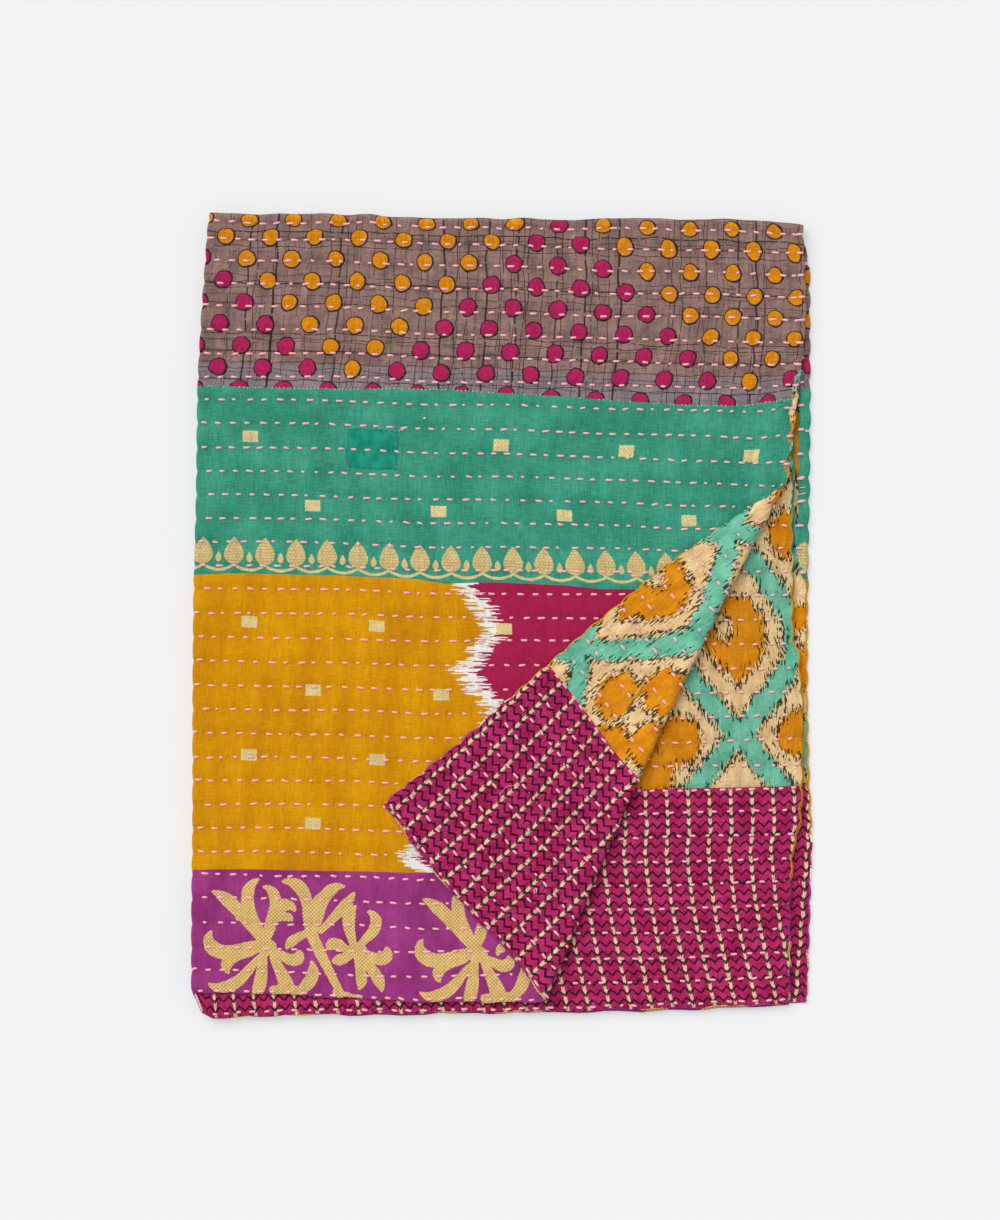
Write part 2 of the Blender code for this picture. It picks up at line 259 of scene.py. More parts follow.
def folded(side, run):
    """The middle of the cloth, folded both ways, with its corner still down."""
    bend = np.clip(side / SIDE_BEND, -math.pi / 2, math.pi / 2)
    height = SIDE_BEND * np.sin(bend)
    across = SIDE_BEND * (1 - np.cos(bend)) + np.maximum(np.abs(side) - SIDE_BEND * math.pi / 2, 0)
    full_across = SIDE_BEND + HALF_WIDTH - SIDE_BEND * math.pi / 2

    turn = np.clip((run - FRONT_LENGTH) / TOP_BEND, 0, math.pi)
    back_length = LENGTH - FRONT_LENGTH - math.pi * TOP_BEND
    down = np.where(turn > 0, (run - FRONT_LENGTH - math.pi * TOP_BEND) / back_length,
                    1 - run / FRONT_LENGTH)
    down = np.maximum(down, 0)
    lower = smooth(turn / math.pi)
    outer = smooth((side - HEM_JOG_START) / HEM_JOG_WIDTH)

    level = read(TOP_FOLD, 0) - FOLD_DEPTH - down * FRONT_LENGTH
    puffed = crest(side, run)
    left = read(SIDE_FOLD, level) - FOLD_SCALLOP * (puffed - 0.5) * np.exp(-across / FOLD_SCALLOP_REACH)
    right = by_layer(SIDE_HEMS, level, (side > 0) * 1.0, lower)
    near_hem = smooth((across - full_across + SCALLOP_REACH) / SCALLOP_REACH)
    right = right - SCALLOP * (1 - puffed ** 0.8) * near_hem
    flat_x = left + across / full_across * (right - left)

    curl = read(CURL_LENGTHS, level) * ((side > 0) & (turn >= math.pi))
    start = right - CURL_RADIUS
    along = left + across / full_across * (start + curl - left)
    past = np.maximum(along - start, 0)
    angle = np.minimum(past / CURL_RADIUS, math.pi)
    curled_x = np.minimum(along, start) + CURL_RADIUS * np.sin(angle)
    curled_x = curled_x - np.maximum(past - math.pi * CURL_RADIUS, 0)
    x = np.where(curl > 0, curled_x, flat_x)
    lift = np.where(curl > 0, CURL_RADIUS * (1 - np.cos(angle)), 0)

    top_line = read(TOP_FOLD, x) - FOLD_DEPTH
    hem_line = by_layer(LOWER_HEMS, x, outer, lower)
    y = top_line + down * (hem_line - top_line) + (TOP_BEND + height) * np.sin(turn)
    front = outer * (1 - lower)
    y -= front * read(SLIP, level) * read(SLIP_SHARE, x)
    y += front * read(RISE, level) * smooth((x - RISE_START) / RISE_WIDTH)
    wave = HEM_WAVE * uneven(x / HEM_WAVE_LENGTH, 3 * outer, 12)
    y += wave * np.exp(-(1 - down) * FRONT_LENGTH / HEM_WAVE_REACH)
    wave = TOP_WAVE * uneven(x / TOP_WAVE_LENGTH, 0 * x, 9)
    y += wave * np.exp(-np.abs(top_line - y) / TOP_WAVE_REACH)
    y += read(TOP_RISE, x) * smooth((y - TOP_RISE_START) / TOP_RISE_HEIGHT)
    tuck = LOWER_TUCK * smooth((TUCK_START - y) / TUCK_HEIGHT) * np.exp(-(x - left) / TUCK_REACH)
    x += (1 - front) * tuck
    z = 2 * LAYER_STEP + (TOP_BEND + height) * np.cos(turn) + lift - SINK

    at_side = np.exp(-(x - left) / FULLNESS_REACH)
    at_top = np.exp(-np.abs(top_line + read(TOP_RISE, x) - y) / FULLNESS_REACH)
    z *= 1 + SIDE_FULLNESS * at_side + TOP_FULLNESS * at_top
    return x, y, z


def corner_turned(x, y, z):
    """Rolls what lies past the crease back over the front layer, where it settles down."""
    run_x, run_y = CREASE_HEAD[0] - CREASE_FOOT[0], CREASE_HEAD[1] - CREASE_FOOT[1]
    length = math.hypot(run_x, run_y)
    square_x, square_y = run_y / length, -run_x / length
    past = (x - CREASE_FOOT[0]) * square_x + (y - CREASE_FOOT[1]) * square_y
    along = (x - CREASE_FOOT[0]) * -square_y + (y - CREASE_FOOT[1]) * square_x
    roll = np.clip((past + ROLL_RADIUS) / ROLL_RADIUS, 0, math.pi)
    beyond = np.maximum(past + ROLL_RADIUS - math.pi * ROLL_RADIUS, 0)
    place = np.minimum(past, -ROLL_RADIUS) + ROLL_RADIUS * np.sin(roll) - beyond
    lift = ROLL_RADIUS * (1 - np.cos(roll))
    lift -= (2 * ROLL_RADIUS - LAYER_STEP) * smooth(beyond / SETTLE_LENGTH)
    bow = CREASE_BOW * np.sin(math.pi * np.clip(along / length, 0, 1))
    shift = place - bow * np.exp(-(place / CREASE_BOW_REACH) ** 2) - past
    crumple = 0.35 + uneven(along / CRUMPLE_WIDTH, past / CRUMPLE_LENGTH, 14)
    lift += CRUMPLE * crumple * smooth(beyond / CRUMPLE_LENGTH)
    return x + shift * square_x, y + shift * square_y, z + lift


def middle(side, run):
    """Points of the middle of the cloth, as an array of x, y, z."""
    x, y, z = folded(side, run)
    turned = corner_turned(x, y, z)
    front = (side > 0) & (run <= FRONT_LENGTH)
    x, y, z = (np.where(front, after, before) for after, before in zip(turned, (x, y, z)))
    return np.stack([x, y + CENTRE_SHIFT, z * (1 + swells(x, y))], axis=-1)


def unit(vectors):
    return vectors / np.maximum(np.linalg.norm(vectors, axis=-1, keepdims=True), 1e-12)


def cloth_frame(side, run):
    """The middle of the cloth, its directions across and along, and its patchwork side's normal."""
    step = 0.15 * MM
    across = unit(middle(side + step, run) - middle(side - step, run))
    along = unit(middle(side, run + step) - middle(side, run - step))
    return middle(side, run), across, along, unit(np.cross(across, along))


def half_thickness(side, run, face):
    """From the middle of the cloth to one face: least on the stitch rows, held in at hems and folds."""
    puff = crest(side, run) ** 0.65
    rumple = uneven(side / (8 * MM), run / (9 * MM), 11 + face) * (0.30 - 0.12 * face) * MM
    gathers = uneven(side / (6.1 * MM), run / (24 * MM), 21 + face) * (0.28 - 0.12 * face) * MM
    half = STITCHED_HALF + CREST_RISE * puff + (rumple + gathers) * (0.35 + 0.65 * puff)
    turn = (run - FRONT_LENGTH) / TOP_BEND
    in_top = smooth(1.4 - np.abs(turn - math.pi / 2) / (math.pi / 2 + 0.6))
    in_side = smooth(1.5 - np.abs(side) / (SIDE_BEND * math.pi / 2 + 1 * MM))
    half += (np.minimum(half, FOLD_HALF) - half) * np.maximum(in_top, in_side)
    from_hem = np.minimum(HALF_WIDTH - np.abs(side), np.minimum(run, LENGTH - run))
    at_hem = smooth(1 - from_hem / HEM_WIDTH)
    half += (HEM_HALF - half) * at_hem
    sewn = run - seam_wander(side, run) if face > 0 else run
    from_seam = np.min([np.abs(sewn - seam * MM) for seam in SEAMS[face]], axis=0)
    return half - SEAM_GROOVE * np.exp(-(from_seam / SEAM_GROOVE_HALF) ** 2)


def mirrored(*seams):
    return [*seams, *(LENGTH / MM - seam for seam in seams)]


SEAMS = {1: mirrored(PURPLE_TO_MUSTARD, MUSTARD_TO_GREEN, GREEN_TO_GREY), -1: mirrored(MAGENTA_TO_IKAT)}


def surface(side, run, face, lift=0.0):
    """Points on one face of the cloth. A place past a hem wraps round it to the other face."""
    over_side = side - np.clip(side, -HALF_WIDTH, HALF_WIDTH)
    over_run = run - np.clip(run, 0, LENGTH)
    over = np.hypot(over_side, over_run)
    angle = np.minimum(over / HEM_HALF, math.pi)
    back = np.maximum(over - math.pi * HEM_HALF, 0)
    share = back / np.maximum(over, 1e-9)
    inner_side = np.clip(side, -HALF_WIDTH, HALF_WIDTH) - over_side * share
    inner_run = np.clip(run, 0, LENGTH) - over_run * share
    place, across, along, normal = cloth_frame(inner_side, inner_run)
    outward = unit(across * over_side[..., None] + along * over_run[..., None])
    half = half_thickness(inner_side, inner_run, face) + lift - WRAP_SINK * smooth(back / WRAP_END)
    rise = (face * half * np.cos(angle))[..., None]
    reach = ((HEM_HALF + lift) * np.sin(angle))[..., None]
    points = place + normal * rise + outward * reach
    points[..., 2] = np.maximum(points[..., 2], LOWEST)
    return points


# ---- Meshes ----
def spans(*stops):
    """Grid lines through places in metres: a place, then pairs of a step and the next place."""
    lines = [stops[0]]
    for step, end in zip(stops[1::2], stops[2::2]):
        count = max(1, round((end - lines[-1]) / step))
        lines.extend(np.linspace(lines[-1], end, count + 1)[1:])
    return np.array(lines)


def hem_wrap(outwards):
    """Grid lines that carry the cloth round a hem and a little way back."""
    past = HEM_HALF * math.pi * np.array((0.2, 0.4, 0.6, 0.8, 1, 1, 1))
    past[5:] += WRAP_END, 2 * WRAP_END
    return past if outwards > 0 else -past[::-1]


def placed(name, data):
    thing = bpy.data.objects.new(name, data)
    bpy.context.scene.collection.objects.link(thing)
    return thing


def mesh_object(name, points, faces, material):
    mesh = bpy.data.meshes.new(name)
    mesh.vertices.add(len(points))
    mesh.vertices.foreach_set("co", np.asarray(points, np.float32).ravel())
    faces = np.asarray(faces, np.int32)
    mesh.loops.add(faces.size)
    mesh.loops.foreach_set("vertex_index", faces.ravel())
    mesh.polygons.add(len(faces))
    mesh.polygons.foreach_set("loop_start", np.arange(len(faces), dtype=np.int32) * faces.shape[1])
    mesh.update(calc_edges=True)
    mesh.validate()
    mesh.materials.append(material)
    mesh.shade_smooth()
    return placed(name, mesh)


def grid_faces(columns, rows, flipped):
    corner = np.arange((columns - 1) * (rows - 1))
    first = corner // (columns - 1) * columns + corner % (columns - 1)
    quads = np.stack([first, first + 1, first + columns + 1, first + columns], axis=1)
    return quads[:, ::-1] if flipped else quads


def write(mesh, name, values):
    """Stores a number or a vector for each point, for the materials to read."""
    values = np.asarray(values, np.float32)
    kind, key = ("FLOAT_VECTOR", "vector") if values.ndim > 1 else ("FLOAT", "value")
    mesh.attributes.new(name, kind, "POINT").data.foreach_set(key, values.ravel())


def write_cloth(mesh, side, run):
    """Stores each point's place on the cloth. A hem that wraps shows the print beside it."""
    write(mesh, "cloth", np.stack([side / MM, run / MM, crest(side, run)], axis=1))


def panel(name, sides, runs, face, material, motif=None):
    """One piece of the quilt's patchwork or of its inner cloth, on the folds."""
    side, run = (values.ravel() for values in np.meshgrid(sides, runs))
    lift = 0.0
    if face > 0:
        run = run + seam_wander(side, run)
    else:
        # The inner cloth stops at the hem, where its own edge wanders and in one place shows frayed.
        near = smooth((np.abs(side) - HALF_WIDTH + EDGE_REACH) / EDGE_REACH)
        frayed = FRAY * smooth((FRAY_HALF - np.abs(run - FRAY_MIDDLE)) / FRAY_TAPER) * (side > 0)
        frayed = frayed * (0.8 + 0.3 * uneven(run / FRAY_TUFT, run * 0, 43))
        ragged = EDGE_WANDER * uneven(run / (17 * MM), np.sign(side), 41)
        side = side + near * (frayed + np.sign(side) * ragged)
        lift = FRAY_LIFT * near * frayed / FRAY
        near = smooth(1 - np.minimum(run, LENGTH - run) / EDGE_REACH)
        ragged = EDGE_WANDER * uneven(side / (19 * MM), 0 * run, 42)
        run = run + np.sign(run - LENGTH / 2) * near * ragged
    points = surface(side, run, face, lift)
    thing = mesh_object(name, points, grid_faces(len(sides), len(runs), face < 0), material)
    write_cloth(thing.data, side, run)
    if motif:
        for label, values in motif(side / MM, run / MM).items():
            write(thing.data, label, values)
    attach(thing, "root")
    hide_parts("quilt")


# ---- Materials ----
def linear(hex_colour):
    """An sRGB hex colour as linear red, green, blue and alpha."""
    parts = [int(hex_colour[i:i + 2], 16) / 255 for i in (1, 3, 5)]
    return (*(p / 12.92 if p <= 0.04045 else ((p + 0.055) / 1.055) ** 2.4 for p in parts), 1.0)


OPERATIONS = {
    ast.Add: "ADD", ast.Sub: "SUBTRACT", ast.Mult: "MULTIPLY", ast.Div: "DIVIDE", ast.Pow: "POWER",
    ast.Mod: "FLOORED_MODULO", ast.Lt: "LESS_THAN", ast.Gt: "GREATER_THAN", "abs": "ABSOLUTE",
    "sin": "SINE", "sqrt": "SQRT", "round": "ROUND", "floor": "FLOOR", "min": "MINIMUM",
    "max": "MAXIMUM", "ripple": "PINGPONG",
}


class Cotton:
    """A cotton as it is dyed and printed: its material, its colour so far, and its noted values.

    Its formulas are texts that are worked out in the material. They may name any noted value, such as
    x and y, the mm across and along the cloth. The third number of `cloth` is 0 on a stitch row and 1
    between two. In them `chance` is a value from 0 to 1 for each whole number, and `grain` is below.
    """

    def __init__(self, name, *dye):
        self.material = bpy.data.materials.new(name)
        self.material.use_nodes = True
        self.tree = self.material.node_tree
        self.tree.nodes.clear()
        self.values = {}
        if dye:
            self.read("cloth")
            self.note(half=LENGTH / MM / 2, x="cloth.x", y="cloth.y")
            self.colour = self.dyed(*dye)

    def add(self, kind, inputs=(), output=None, **settings):
        """Adds a node with its settings, sets or links its inputs, and gives one of its outputs."""
        node = self.tree.nodes.new("ShaderNode" + kind)
        for name, value in settings.items():
            setattr(node, name, value)
        shown = [socket for socket in node.inputs if socket.enabled]
        for key, value in inputs.items() if isinstance(inputs, dict) else enumerate(inputs):
            socket = node.inputs[key] if isinstance(key, str) else shown[key]
            if isinstance(value, bpy.types.NodeSocket):
                self.tree.links.new(value, socket)
            else:
                socket.default_value = value
        if output:
            return node.outputs[output]
        return next((socket for socket in node.outputs if socket.enabled), None)

    def read(self, name, output="Vector"):
        """Notes what the mesh stores under that name for each point."""
        self.note(**{name: self.add("Attribute", output=output, attribute_name=name)})

    def note(self, **values):
        """Keeps values under their names, one after another. A text is worked out first."""
        for name, value in values.items():
            self.values[name] = self.work(value) if isinstance(value, str) else value

    def work(self, part):
        """Works a formula out, or a part of one."""
        if isinstance(part, str):
            part = ast.parse(part).body[0].value
        if isinstance(part, ast.Constant):
            return part.value
        if isinstance(part, ast.Name):
            return self.values[part.id]
        if isinstance(part, ast.Attribute):
            return self.add("SeparateXYZ", (self.work(part.value),), part.attr.upper())
        if isinstance(part, ast.BinOp):
            values, word = (part.left, part.right), type(part.op)
        elif isinstance(part, ast.Compare):
            values, word = (part.left, part.comparators[0]), type(part.ops[0])
        else:
            values, word = part.args, part.func.id
        values = [self.work(value) for value in values]
        if word == "grain":
            return self.grain(*values)
        if word == "chance":
            return self.add("TexWhiteNoise", {"W": values[0]}, noise_dimensions="1D")
        return self.add("Math", values, operation=OPERATIONS[word])

    def grain(self, across, along, detail, shift, output=None):
        """Unevenness from 0 to 1 with grains of that many mm across and along the cloth."""
        scaled = self.add("VectorMath", (self.values["cloth"], (1 / across, 1 / along, 0)),
                          operation="MULTIPLY")
        moved = self.add("VectorMath", (scaled, (shift, shift, 0)), operation="ADD")
        return self.add("TexNoise", {"Vector": moved, "Scale": 1.0, "Detail": detail}, output,
                        noise_dimensions="2D")

    def jitter(self, size, reach, detail=1.0):
        """Notes the cloth's places as u and v, moved a little as printing by hand leaves them."""
        moved = self.add("VectorMath", (self.grain(size, size, detail, 0, "Color"), (0.5, 0.5, 0.5)),
                         operation="SUBTRACT")
        moved = self.add("VectorMath", (moved, (reach, reach, 0)), operation="MULTIPLY")
        moved = self.add("VectorMath", (self.values["cloth"], moved), operation="ADD")
        self.note(moved=moved, u="moved.x", v="moved.y")

    def mixed(self, ground, ink, share):
        """The ink over the ground, as much as a formula says. Either may be a hex colour."""
        colours = [linear(colour) if isinstance(colour, str) else colour for colour in (ground, ink)]
        return self.add("Mix", (self.work(share), *colours), data_type="RGBA")

    def ink(self, ink, share):
        """Prints over the colour so far."""
        self.colour = self.mixed(self.colour, ink, share)

    def dyed(self, dark, light, across=24, along=34, shift=5):
        """A dyed ground that took its colour unevenly."""
        return self.mixed(dark, light, f"(grain({across}, {along}, 5, {shift}) - 0.32) * 2.6")

    def shaded(self, colour, share):
        return self.add("VectorMath", {"Vector": colour, "Scale": self.work(share)}, operation="SCALE")

    def finished(self, shade, height, strength, depth, **surface):
        """The material, with formulas for its shade and height, and how strong and deep that height is."""
        bump = self.add("Bump", {"Strength": strength, "Distance": depth, "Height": self.work(height)})
        surface = {name.replace("_", " "): value for name, value in surface.items()}
        surface |= {"Base Color": self.shaded(self.colour, shade), "Normal": bump}
        self.add("OutputMaterial", (self.add("BsdfPrincipled", surface),))
        return self.material

    def woven(self, slub=0.36, crinkle=1.0):
        """Woven cotton: matt, with slubs in both thread directions, puckers from sewing with painted shade in
        their grooves, and faded patches and streaks, the streaks partly painted shade of ripples.
        """
        self.note(
            slub=slub, crinkle=crinkle,
            # Threads are drawn 0.95 mm apart, about twice their real pitch, so that they show.
            weft="grain(11, 0.95, 2, 0)", warp="grain(0.95, 11, 2, 40)",
            # The long streaks are partly faded dye and partly painted shade of the cloth's vertical ripples.
            washed="grain(34, 50, 3, 90)", streak="grain(5.5, 70, 3, 130)",
            # The sewing thread draws pleats across its row, which run out between the rows.
            pleat="1 - min(abs(grain(4.6, 15, 2, 170) - 0.5) * 5, 1)",
            wrinkle="1 - min(abs(grain(12, 7, 3, 210) - 0.5) * 5, 1)",
            # The grooves are relief and painted shade: they are bumped in, and their colour is darkened.
            groove="crinkle * (1.15 - 0.8 * cloth.z) * pleat + 0.5 * crinkle * wrinkle",
            fading="1 + slub * (weft + warp - 1) + 0.20 * (washed - 0.5) + 0.26 * (streak - 0.5)")
        # Painted shade: the colour is darkened by 8.5% for each unit of the grooves' depth.
        return self.finished("fading * (1 - 0.085 * groove)", "0.11 * (weft + warp) - 0.42 * groove",
                             1.0, MM, Roughness=0.92, Sheen_Weight=0.05, Sheen_Roughness=0.5,
                             Specular_IOR_Level=0.12)


def thread(name, hex_colour):
    """Soft-twist cotton thread: matt, with faint tufts of fibre about 2.4 mm long."""
    cotton = Cotton(name)
    cotton.colour = linear(hex_colour)[:3]
    place = cotton.add("TexCoord", output="Object")
    cotton.note(tuft=cotton.add("TexNoise", {"Vector": place, "Scale": 0.42 / MM, "Detail": 2.0}))
    return cotton.finished("0.9 + 0.2 * tuft", "tuft", 0.4, 0.2 * MM, Roughness=0.5, Sheen_Weight=0.8)


def sketched_lines(cotton, across, along, pitch, width, seed):
    """Hand-drawn lines about that pitch apart, each of its own strength and broken in its own way."""
    cotton.note(across=across, along=along, pitch=pitch, width=width, seed=seed,
                line="round(across / pitch)", strength="chance(1.7 * line + seed)",
                moved="chance(2.3 * line + seed + 31)")
    for name, place, detail in (("wander", ("along / 34", "7 * line + seed"), 1.0),
                                ("worn", ("along / 6", "9 * line + seed"), 3.0)):
        place = cotton.add("CombineXYZ", [cotton.work(text) for text in place])
        noise = {"Vector": place, "Scale": 1.0, "Detail": detail}
        cotton.note(**{name: cotton.add("TexNoise", noise, noise_dimensions="2D")})
    cotton.note(
        off="abs(across - pitch * line - 0.5 * pitch * (moved - 0.5) - 7 * (wander - 0.5))",
        whole="worn > 0.63 - 0.27 * strength",
        # Weaker lines are rows of separate ticks, one for each few threads.
        ticks="max((along % 1.7) < 0.95, strength > 0.7)")
    cotton.ink("#241E22", "(off < width * (0.5 + strength)) * whole * ticks * (0.45 + 0.45 * strength)")


def dotted_grey_cotton():
    """Block-printed muslin: mauve grey, with sketched lines and round dots that keep a dark rim."""
    cotton = Cotton("Block-printed grey muslin", "#7F6261", "#A27F79", 15, 20, 7)
    cotton.ink("#9A7C5C", "max(grain(22, 3.5, 4, 71) - 0.5, 0) * 3")
    cotton.note(tint="grain(3.5, 22, 4, 83)", edge=LENGTH / MM / 2 - GREEN_TO_GREY - 20)
    cotton.ink("#5E6B58", "max(tint - 0.54, 0) * 3")
    # Beside its seam the cloth was folded away, and kept a cooler grey.
    cotton.ink("#8A8790", "(abs(y - half) > edge + 6 * (tint - 0.5)) * 0.5")
    for line in (("x", "y", 19.0, 0.6, 11), ("x", "y", 10.3, 0.26, 23), ("x", "y", 7.1, 0.22, 61),
                 ("y", "x", 19.7, 0.34, 35), ("y", "x", 9.1, 0.22, 47), ("y", "x", 6.3, 0.20, 52)):
        sketched_lines(cotton, *line)

    cotton.jitter(12, 2.8)
    cotton.note(
        # Over the top fold the cloth turns away, so its print is drawn closer there. Toward the side
        # hem the cloth is drawn together.
        v="v + 0.5 * min(max(v - 654, 0), 20)"
          " + 2.8 * min(max((u - 320) / 70, 0), 1) * min(max((v - 560) / 50, 0), 1)",
        u="u + 0.00026 * max(u - 350, 0) ** 2",
        # Every other row of dots is moved half a column. Magenta ones fill triangles.
        rows=18.7, columns=38.4, top_row=669.7,
        row="round((top_row - v) / rows)", first="35.5 - 19 * (row % 2)",
        centre="first + columns * round((u - first) / columns)",
        magenta="abs((centre - 131) % 342 - 171) < 19 * (abs(row) + 0.5)",
        off="u - centre", up="v - top_row + rows * row", worn="grain(3, 3, 2, 61)",
        rim="sqrt((off - 0.35) ** 2 + (up + 0.3) ** 2) < 8.05 + 0.9 * (worn - 0.5)")
    ink = cotton.shaded(cotton.mixed("#DB8A0E", "#B2215A", "magenta"), "0.72 + 0.56 * worn")
    cotton.ink("#2A1620", "rim * (0.66 + 0.5 * worn)")
    cotton.ink(ink, "sqrt(off ** 2 + up ** 2) < 6.7 + 0.6 * (worn - 0.5)")
    return cotton.woven(crinkle=1.5)


def woven_squares(cotton, first, pitch, last, colour, shade):
    """Little squares on a lattice: place of the first, pitches and last row, then their threads."""
    cotton.note(
        across=first[0], along=first[1], columns=pitch[0], rows=pitch[1], last=last,
        w="half - abs(v - half)", row="min(max(round((along - w) / rows), 0), last)",
        first="across - columns / 2 * (row % 2)",
        off="(u - first + columns / 2) % columns - columns / 2", up="w - along + rows * row",
        twill="max(ripple(off + up, 1.7) < 0.42, ripple(off - up, 1.7) < 0.42)",
        ragged="grain(1.6, 1.6, 2, 15)",
        square="(abs(off) < 6.1 + ragged) * (abs(up) < 4.4 + ragged)")
    cotton.ink(colour, "square")
    cotton.ink(shade, "square * 0.34 * twill")


def green_cotton():
    """Sari cotton, piece-dyed green, with cream woven squares and a border of drops."""
    cotton = Cotton("Green sari cotton", "#298B74", "#3FA188", 30, 40)
    cotton.ink("#5F8A5C", "max(grain(1.3, 2.2, 3, 63) - 0.5, 0) * 3")
    cotton.jitter(5, 0.7)
    woven_squares(cotton, (46.5, 479.4), (109.0, 58.0), 1, "#E0CD94", "#A08A58")
    cotton.note(
        # The border: a drop at each pitch, a small one between, and a hanging line under them.
        pitch=26.6, off="abs((u - 7.2 + pitch / 2) % pitch - pitch / 2)",
        rise="min(max((w - 369) / 23.5, 0), 1)",
        drop="off < 8.5 * sin(3.14159 * rise ** 0.66) ** 0.8 - 0.15",
        small_rise="min(max((w - 371) / 9, 0), 1)",
        small="pitch / 2 - off < 2.7 * sin(3.14159 * small_rise ** 0.68) ** 0.8 - 0.1",
        line="abs(w - 364.2 - 4.4 * (1 - off / (pitch / 2)) ** 2) < 1.25",
        brick="max((w % 2.6) < 0.6, ((u + 1.6 * floor(w / 2.6)) % 3.2) < 0.55)")
    cotton.ink("#D9BF82", "max(max(drop, small), line)")
    cotton.ink("#8F8352", "drop * brick * 0.5")
    return cotton.woven(slub=0.65)


def mustard_cotton():
    """Sari cotton, tie-dyed before weaving: mustard meets crimson in a white feathered zigzag."""
    cotton = Cotton("Tie-dyed mustard cotton", "#CC8600", "#DC9A00", 22, 70, 9)
    cotton.note(
        u="min(x, 720 - x)", v="half - abs(y - half)",
        # The zigzag's middle, which swings left near the purple seam. Each dyed thread strays.
        zigzag="228 + 0.8 * ripple(v - 283, 39) - 7 * max(1 - abs(v - 326) / 8, 0)"
               " - 48 * max(1 - abs(v - 122) / 85, 0) + 5 * (grain(300, 6, 2, 27) - 0.5)",
        near="chance(floor(v / 0.95))", far="chance(floor(v / 0.95) + 700)",
        fray="grain(14, 0.9, 2, 3)")
    cotton.ink("#EBE8E0", "u > zigzag - 6.5 + 14 * (near - 0.5) + 12 * (fray - 0.5)")
    cotton.ink("#A51D4A", "u > zigzag + 7.5 + 15 * (far - 0.5) + 11 * (fray - 0.5)")
    cotton.jitter(5, 0.7)
    woven_squares(cotton, (47.5, 319.6), (108.0, 57.3), 3, "#E0CB90", "#B98D3C")
    return cotton.woven()


def purple_cotton():
    """Sari cotton, purple, with gold leaf sprays woven in a fine diamond ground."""
    cotton = Cotton("Purple leaf-spray cotton", "#8F2D71", "#A63F87", 30, 40)
    cotton.read("spray", "Fac")
    # The diamonds are 3.2 mm wide, coarse enough to show.
    cotton.note(diamonds="max(ripple(x + y, 1.6) < 0.46, ripple(x - y, 1.6) < 0.46)")
    cotton.ink(cotton.mixed("#EBCB84", "#A87838", "0.72 * diamonds"),
               "spray + 0.8 * (grain(1.4, 1.4, 2, 15) - 0.5) < 0")
    return cotton.woven()


def chevron_cotton():
    """Block-printed cotton: magenta with dark zigzag lines across broken cream stripes."""
    cotton = Cotton("Block-printed magenta cotton", "#AB1454", "#C93071", 16, 20)
    cotton.jitter(9, 2.3, 3.0)
    cotton.note(
        w="half - abs(v - half)",
        # The stripes lean more on one half of the cloth than on the other.
        lean="0.05 + (0.21 - 0.00045 * w) * min(max((100 - u) / 300, 0), 1)",
        off="(u - lean * w + 9.05) % 18.1 - 9.05", worn="grain(2.4, 2.4, 2, 33)",
        zigzag="(w - 4.4 * ripple(off / 4.525, 1)) % 8.3 - 4.15",
        # The lines print heavier where they cross a stripe, and on the half that is turned out.
        heavy="1.05 + 0.45 * (abs(off) < 2) + 0.15 * (u > 0) + 1.3 * (worn - 0.5)")
    cotton.ink("#DC7A9E", "2.2 * max(grain(1.7, 1.9, 2, 77) - 0.62, 0)")
    cotton.ink("#EDD3A8", "abs(off) < 1.35 + 0.9 * (worn - 0.5)")
    cotton.ink("#1E0E18", "0.93 * (abs(zigzag) < heavy)")
    return cotton.woven(crinkle=2.6)


def ikat_cotton():
    """Printed cotton in the manner of ikat: motifs whose edges feather into dark thread ends."""
    cotton = Cotton("Ikat-printed cream cotton", "#D9B47C", "#EBCD9B", 9, 45)
    cotton.read("motif")
    cotton.jitter(6, 1.6)
    cotton.note(
        feather="grain(2, 18, 2, 12)", ragged="chance(floor(u / 1.6))",
        # Dark thread ends, 1.5 to 2 mm wide so that they show, in two sets that run together.
        ends="max(grain(1.5, 5.5, 1, 111) > 0.56, grain(2, 8, 1, 151) > 0.59)")
    for motif, dye in (("motif.x", ("#5DAA8C", "#7CC4A8", 14, 20, 35)),
                       ("motif.y", ("#CB7B04", "#DE9018", 14, 20, 45))):
        cotton.note(edge=motif + " + 9 * (feather - 0.5) + 4 * (ragged - 0.5)")
        cotton.ink(cotton.dyed(*dye), "edge < 0")
        cotton.ink("#171009", "(abs(edge - 1.2) < 1.5 + 3.6 * ragged) * ends * 0.92")
    # Painted light: the half that is turned out is made 13% lighter, for the light it catches.
    cotton.colour = cotton.shaded(cotton.colour, "1 + 0.13 * (x > 0)")
    return cotton.woven(crinkle=1.5)


def patch_cotton():
    """The mending patch: plain green cotton, brighter than the cloth it mends."""
    return Cotton("Mending patch cotton", "#14856C", "#259A80", 9, 12).woven(slub=0.4)


# ---- Motifs, worked out on the cloth's points ----
SPRAY_PITCH = 178.0
SPRAY_START = 3
FAR_OUTSIDE = 60.0
FROND_STEPS = 32
